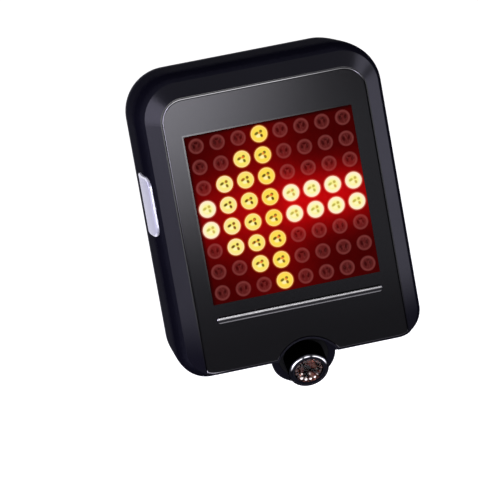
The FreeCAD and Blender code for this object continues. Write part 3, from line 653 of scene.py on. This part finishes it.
lit_resin = lit_finish()
unlit_resin = unlit_finish()
liner_rubber = rubber_finish("liner_rubber", (0.012, 0.012, 0.012), 0.8)
seal = mould_finish("seal_rubber", (0.002, 0.002, 0.0024), grain=0.3, roughness=0.6, level=0.03)
reflector = mould_finish("reflector_white", (0.75, 0.75, 0.75), grain=0.3, roughness=0.4)
amber_die = mould_finish("die_amber", (0.7, 0.4, 0.1), grain=0.1, roughness=0.3)
chip = mould_finish("chip_epoxy", (0.02, 0.02, 0.02), grain=0.15, roughness=0.6)
film = mould_finish("insulator_film", (0.35, 0.28, 0.12), grain=0.4, roughness=0.4)
clamp_plastic = mould_finish("clamp_plastic", (0.013, 0.013, 0.0145), grain=0.28, roughness=0.52, level=0.22,
                             relief=0.016)
knob_plastic = mould_finish("knob_plastic", (0.015, 0.015, 0.017), grain=0.25, roughness=0.5, level=0.25)
steel = metal_finish("zinc_steel", (0.55, 0.55, 0.57), 0.32)
black_steel = metal_finish("black_oxide_steel", (0.06, 0.06, 0.065), 0.35)
nickel = metal_finish("plain_nickel", (0.6, 0.58, 0.54), 0.3)
brass = metal_finish("turned_brass", (0.62, 0.40, 0.14), 0.25, stretch=(1.0, 6.0, 1.0))
barrel_black = metal_finish("barrel_black", (0.004, 0.004, 0.005), 0.35, glance=BLACK)
foil = metal_finish("cell_foil", (0.7, 0.71, 0.73), 0.35, grain=3.0, relief=0.05)

dress(case_finish("case_shell", tone=0.19, roughness=0.34), "front_case")
dress(case_finish("lid_shell", tone=0.62, roughness=0.42), "rear_lid")
dress(panel_finish(), "front_panel")
dress(bar_finish(), "trim_bar")
dress(face_finish(), "display_face")
dress(lit_resin, "lit_dots")
dress(unlit_resin, "unlit_dots")
dress(reflector, "display_reflector")
dress(amber_die, "led_dies")
dress(board_finish(), "display_board", "main_board", "laser_board")
dress(chip, "board_chips", "switch_body")
dress(rubber_finish("foam_black", (0.02, 0.02, 0.02), 0.9), "display_gasket", "battery_pad")
dress(foil, "battery")
dress(film, "battery_insulator")
dress(steel, "board_screws", "hinge_pin", "clamp_bolt", "clamp_washer")
dress(black_steel, "lid_screws", "port_cover_pin")
dress(nickel, "battery_tabs", "charging_port")
dress(brass, "display_pins", "laser_diode", "knob_insert")
dress(button_finish(), "side_button", "switch_plunger")
dress(seal, "button_seal", "laser_seal", "lid_gasket")
dress(rubber_finish("cover_rubber", (0.014, 0.014, 0.016), 0.65), "port_cover")
dress(barrel_black, "laser_barrel")
dress(lens_finish(), "laser_lens")
dress(clamp_plastic, "clamp_base", "clamp_gate")
dress(liner_rubber, "front_liner", "rear_liner")
dress(knob_plastic, "clamp_knob")


class Growth(Graph):
    """A Geometry Nodes tree with named sizes, whose result becomes a plain mesh."""

    def __init__(self, name, **sizes):
        super().__init__(bpy.data.node_groups.new(name, "GeometryNodeTree"))
        sockets = self.tree.interface
        sockets.new_socket("Geometry", in_out="OUTPUT", socket_type="NodeSocketGeometry")
        sockets.new_socket("Geometry", in_out="INPUT", socket_type="NodeSocketGeometry")
        self.settings = {}
        for key, value in sizes.items():
            kind = "NodeSocketInt" if isinstance(value, int) else "NodeSocketFloat"
            self.settings[sockets.new_socket(key, in_out="INPUT", socket_type=kind).identifier] = value
        self.entry = self.tree.nodes.new("NodeGroupInput")
        self.exit = self.tree.nodes.new("NodeGroupOutput")

    def size(self, key):
        return Term(self, self.entry.outputs[key])

    def vector(self, x, y, z):
        return self.node("ShaderNodeCombineXYZ", sockets={0: x, 1: y, 2: z})

    def circle(self):
        """Points round z, as many as the size Count says, at the size Radius."""
        return self.node("GeometryNodeMeshCircle", sockets={
            "Vertices": self.size("Count"), "Radius": self.size("Radius")})

    def mesh(self, start, geometry, finish):
        """Plain mesh of the geometry, grown on the start mesh and given the finish."""
        solid = self.node("GeometryNodeRealizeInstances", sockets={0: geometry})
        solid = self.node("GeometryNodeSetMaterial", sockets={"Geometry": solid, "Material": finish.material})
        self.tree.links.new(solid.socket, self.exit.inputs[0])
        holder = bpy.data.objects.new(self.tree.name, start)
        bpy.context.scene.collection.objects.link(holder)
        modifier = holder.modifiers.new(self.tree.name, "NODES")
        modifier.node_group = self.tree
        for identifier, value in self.settings.items():
            modifier[identifier] = value
        grown = holder.evaluated_get(bpy.context.evaluated_depsgraph_get())
        result = bpy.data.meshes.new_from_object(grown)
        bpy.data.objects.remove(holder)
        return result


def fit_piece(name, mesh, body, *replaced):
    """Adds a piece that rides on a body and takes the place of the replaced nodes."""
    piece = bpy.data.objects.new(name, mesh)
    bpy.context.scene.collection.objects.link(piece)
    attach(piece, body)
    if replaced:
        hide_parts(*replaced)


def smooth(mesh):
    mesh.shade_smooth()
    mesh.set_sharp_from_angle(angle=SHARP_ANGLE)


def turned(name, profile, finish):
    """Closed ring turned about the laser's axis, from a profile of radius and distance behind the front."""
    edit = bmesh.new()
    loops = []
    for step in range(TURN_STEPS):
        angle = 2 * math.pi * step / TURN_STEPS
        right, up = math.cos(angle), math.sin(angle)
        out = Vector((right, -up * math.sin(LASER_TILT), up * math.cos(LASER_TILT)))
        points = [(LASER_FACE + out * radius + LASER_INWARD * depth) * MM for radius, depth in profile]
        loops.append([edit.verts.new(point) for point in points])
    for step, loop in enumerate(loops):
        following = loops[(step + 1) % TURN_STEPS]
        for index in range(len(profile)):
            other = (index + 1) % len(profile)
            edit.faces.new((loop[index], loop[other], following[other], following[index]))
    bmesh.ops.recalc_face_normals(edit, faces=edit.faces)
    mesh = bpy.data.meshes.new(name)
    edit.to_mesh(mesh)
    edit.free()
    mesh.materials.append(finish.material)
    smooth(mesh)
    return mesh


def dots(name, finish, wanted, radius):
    """Low resin domes in the cells that the arrow lights, or in the others."""
    growth = Growth(name, Pitch=DOT_PITCH * MM, Radius=radius * MM, Rise=DOME_RISE, Lit=wanted)
    span = growth.size("Pitch") * (DOTS_ACROSS - 1)
    grid = growth.node("GeometryNodeMeshGrid", sockets={
        "Size X": span, "Size Y": span, "Vertices X": DOTS_ACROSS, "Vertices Y": DOTS_ACROSS})
    x, y, _ = growth.axes(growth.node("GeometryNodeInputPosition"))
    lit, _ = arrow_lights(x / MM, y / MM)
    chosen = abs(lit - growth.size("Lit")) < 0.5
    dome = growth.node("GeometryNodeMeshUVSphere", sockets={
        "Segments": DOME_SEGMENTS, "Rings": DOME_RINGS, "Radius": growth.size("Radius")})
    dome = growth.node("GeometryNodeSetShadeSmooth", sockets={"Geometry": dome})
    flat = growth.vector(1.0, 1.0, growth.size("Rise"))
    placed = growth.node("GeometryNodeInstanceOnPoints", sockets={
        "Points": grid, "Selection": chosen, "Instance": dome, "Scale": flat})
    front = Vector((0, face_low.y + DOME_SEAT * MM, DISPLAY_MIDDLE_Z * MM))
    upright = growth.node("GeometryNodeTransform", sockets={
        "Geometry": placed, "Translation": front, "Rotation": Euler((math.pi / 2, 0, 0))})
    return growth.mesh(bpy.data.meshes.new(name), upright, finish)


def facets(name, finish, radius, depth, size, count, seed):
    """Rounded facets of uneven size round the laser's axis."""
    growth = Growth(name, Radius=radius * MM, Count=count, Facet=size * MM, Seed=seed)
    facet = growth.node("GeometryNodeMeshIcoSphere", sockets={
        "Radius": growth.size("Facet"), "Subdivisions": 2})
    uneven = growth.node("FunctionNodeRandomValue", {"data_type": "FLOAT"},
                         {2: SMALLEST_FACET, 3: 1.0, 8: growth.size("Seed")}, output=1)
    placed = growth.node("GeometryNodeInstanceOnPoints", sockets={
        "Points": growth.circle(), "Instance": facet, "Scale": uneven})
    there = growth.node("GeometryNodeTransform", sockets={
        "Geometry": placed, "Translation": (LASER_FACE + LASER_INWARD * depth) * MM,
        "Rotation": Euler((math.pi / 2 + LASER_TILT, 0, 0))})
    return growth.mesh(bpy.data.meshes.new(name), there, finish)


def ribbed_liner(name, node, in_front):
    """The clamp's rubber liner with upright ribs round its bore."""
    shell = nodes[node].data.copy()
    edit = bmesh.new()
    edit.from_mesh(shell)
    bmesh.ops.remove_doubles(edit, verts=edit.verts, dist=WELD_DISTANCE * MM)
    for vertex in edit.verts:
        reach = math.hypot(vertex.co.x, vertex.co.y)
        if reach < (POST_RADIUS + BORE_TOLERANCE) * MM:
            vertex.co.x *= LINER_BORE * MM / reach
            vertex.co.y *= LINER_BORE * MM / reach
    edit.to_mesh(shell)
    edit.free()
    growth = Growth(name, Radius=(POST_RADIUS + RIB_RADIUS) * MM, Count=RIB_COUNT, Rib=RIB_RADIUS * MM,
                    Height=RIB_HEIGHT * MM)
    rib = growth.node("GeometryNodeMeshCylinder", sockets={
        "Vertices": RIB_SIDES, "Radius": growth.size("Rib"), "Depth": growth.size("Height")})
    x, y, _ = growth.axes(growth.node("GeometryNodeInputPosition"))
    hinge_end, bolt_end = FRONT_RIB_ENDS if in_front else REAR_RIB_ENDS
    if in_front:
        chosen = (y < hinge_end * MM).largest((x > 0) * (y < bolt_end * MM))
    else:
        chosen = (y > bolt_end * MM).largest((x < 0) * (y > hinge_end * MM))
    placed = growth.node("GeometryNodeInstanceOnPoints", sockets={
        "Points": growth.circle(), "Selection": chosen, "Instance": rib})
    whole = growth.node("GeometryNodeJoinGeometry", sockets={0: [growth.size("Geometry"), placed]})
    mesh = growth.mesh(shell, whole, liner_rubber)
    smooth(mesh)
    return mesh


fit_piece("lit_domes", dots("lit_domes", lit_resin, 1.0, DOT_RADIUS + LIT_DOT_SPREAD), "light", "lit_dots")
fit_piece("unlit_domes", dots("unlit_domes", unlit_resin, 0.0, DOT_RADIUS), "light", "unlit_dots")
front_ribs = ribbed_liner("ribbed_front_liner", "front_liner", True)
fit_piece("ribbed_front_liner", front_ribs, "clamp_base", "front_liner")
rear_ribs = ribbed_liner("ribbed_rear_liner", "rear_liner", False)
fit_piece("ribbed_rear_liner", rear_ribs, "clamp_gate", "rear_liner")

ring_profile = [
    (RING_INNER, RING_DEPTH), (RING_INNER, 0.11), (2.76, 0.095), (2.80, 0.05), (3.02, 0.05), (3.22, 0.13),
    (3.34, 0.08), (3.42, 0.01), (BEAD_RADIUS, 0.0), (3.58, 0.03), (3.64, 0.12), (3.76, 0.15), (3.85, 0.22),
    (RING_OUTER, 0.34), (RING_OUTER, RING_DEPTH)]
fit_piece("beaded_ring", turned("beaded_ring", ring_profile, ring_finish()), "light", "laser_ring")
cone_profile = [
    (3.02, 0.28), (3.04, 2.05), (3.08, 2.12), (3.08, 4.40), (1.30, 4.40), (1.34, 4.20), (1.75, 3.55),
    (2.10, 3.00), (2.42, 2.05), (2.72, 1.0), (2.94, 0.30)]
fit_piece("lens_cone", turned("lens_cone", cone_profile, cone_finish()), "light", "laser_retainer")
facet_metal = facet_finish()
lens_ring = facets("lens_facets", facet_metal, radius=2.45, depth=0.60, size=0.50, count=17, seed=4)
fit_piece("lens_facets", lens_ring, "light")
cone_ring = facets("cone_facets", facet_metal, radius=2.34, depth=1.95, size=0.30, count=9, seed=2)
fit_piece("cone_facets", cone_ring, "light")

# Lamps round the panel's middle, in metres
PANEL_MIDDLE = Vector((0, PANEL_FACE_Y * MM, 0))
KEY_DISTANCE = 0.24
KEY_GAP = 0.001
KEY_WIDTHS = (0.030, 0.056, 0.084)


def soft_box(name, offset, width, height, radiance, colour=WHITE, shape="RECTANGLE"):
    """Lamp that the camera doesn't see, with its brightness given as seen from the front."""
    lamp = bpy.data.lights.new(name, "AREA")
    lamp.shape = shape
    lamp.size = width
    lamp.size_y = height
    area = width * height * (math.pi / 4 if shape == "ELLIPSE" else 1)
    lamp.energy = radiance * math.pi * area
    lamp.color = colour
    lamp_object = bpy.data.objects.new(name, lamp)
    bpy.context.scene.collection.objects.link(lamp_object)
    place = PANEL_MIDDLE + Vector(offset)
    lamp_object.location = place
    lamp_object.rotation_euler = (PANEL_MIDDLE - place).to_track_quat("-Z", "Y").to_euler()
    lamp_object.visible_camera = False


for ring, width in enumerate(KEY_WIDTHS):
    soft_box(f"key_{ring}", (0.002, -KEY_DISTANCE - ring * KEY_GAP, 0.002), width, width, radiance=18.0,
             shape="ELLIPSE")
soft_box("right_key", (0.062, -KEY_DISTANCE, -0.036), 0.05, 0.048, radiance=2.1)
soft_box("left_box", (-0.45, -0.10, -0.14), 0.24, 0.24, radiance=0.7, colour=(0.74, 0.71, 1.0))
soft_box("upper_left_box", (-0.40, -0.13, 0.16), 0.24, 0.42, radiance=12.0, colour=(0.80, 0.76, 1.0))
soft_box("right_box", (0.45, 0.006, -0.050), 0.22, 0.28, radiance=5.2, colour=(0.77, 0.74, 1.0))
soft_box("upper_right_box", (0.378, -0.004, 0.243), 0.18, 0.18, radiance=7.8, colour=(0.80, 0.78, 1.0))


def shown_rays(graph):
    """1 for rays that show the background: from the camera, mirrored or through glass."""
    camera_ray, glossy_ray, glass_ray = [
        graph.node("ShaderNodeLightPath", output=ray)
        for ray in ("Is Camera Ray", "Is Glossy Ray", "Is Transmission Ray")]
    return camera_ray.largest(glossy_ray).largest(glass_ray)


# Sky: white where it shows, dimmer as a light
SKY_LIGHT = 0.45
world = bpy.data.worlds.new("studio")
bpy.context.scene.world = world
world.use_nodes = True
sky = Graph(world.node_tree)
background = sky.tree.nodes["Background"]
sky.feed(background.inputs["Color"], WHITE)
sky.feed(background.inputs["Strength"], SKY_LIGHT + shown_rays(sky) * (1 - SKY_LIGHT))

# Floor, in metres
FLOOR_Z = cad_bounds[0][2] - 0.06
FLOOR_HALF_WIDTH = 3
FLOOR_NEAR = -0.6
FLOOR_FAR = 6
FLOOR_GLOW = 0.64
floor_corners = [
    (-FLOOR_HALF_WIDTH, FLOOR_NEAR, FLOOR_Z), (FLOOR_HALF_WIDTH, FLOOR_NEAR, FLOOR_Z),
    (FLOOR_HALF_WIDTH, FLOOR_FAR, FLOOR_Z), (-FLOOR_HALF_WIDTH, FLOOR_FAR, FLOOR_Z)]
floor_mesh = bpy.data.meshes.new("floor")
floor_mesh.from_pydata(floor_corners, [], [(0, 1, 2, 3)])
floor = bpy.data.objects.new("floor", floor_mesh)
bpy.context.scene.collection.objects.link(floor)
floor_finish = Finish("floor_white", Base_Color=(0.85, 0.85, 0.85), Roughness=0.9, Emission_Color=WHITE)
floor_finish.set(Emission_Strength=shown_rays(floor_finish) * FLOOR_GLOW)
floor_mesh.materials.append(floor_finish.material)

# Camera at the photograph's viewing angle, with its place in metres and its turns in degrees
CAMERA_PLACE = (-0.100966, -0.734883, 0.109366)
CAMERA_TURNS = (80.5553, 10.0313, -9.3083)
camera = bpy.data.cameras.new("photo_view")
camera.sensor_fit = "HORIZONTAL"
camera.sensor_width = 36.0
camera.lens = 282.45
camera.clip_start = 0.01
camera.clip_end = 20.0
camera_object = bpy.data.objects.new("photo_view", camera)
camera_object.location = CAMERA_PLACE
camera_object.rotation_euler = Euler([math.radians(turn) for turn in CAMERA_TURNS])
bpy.context.scene.collection.objects.link(camera_object)
bpy.context.scene.camera = camera_object
bpy.context.scene.view_settings.view_transform = "Standard"
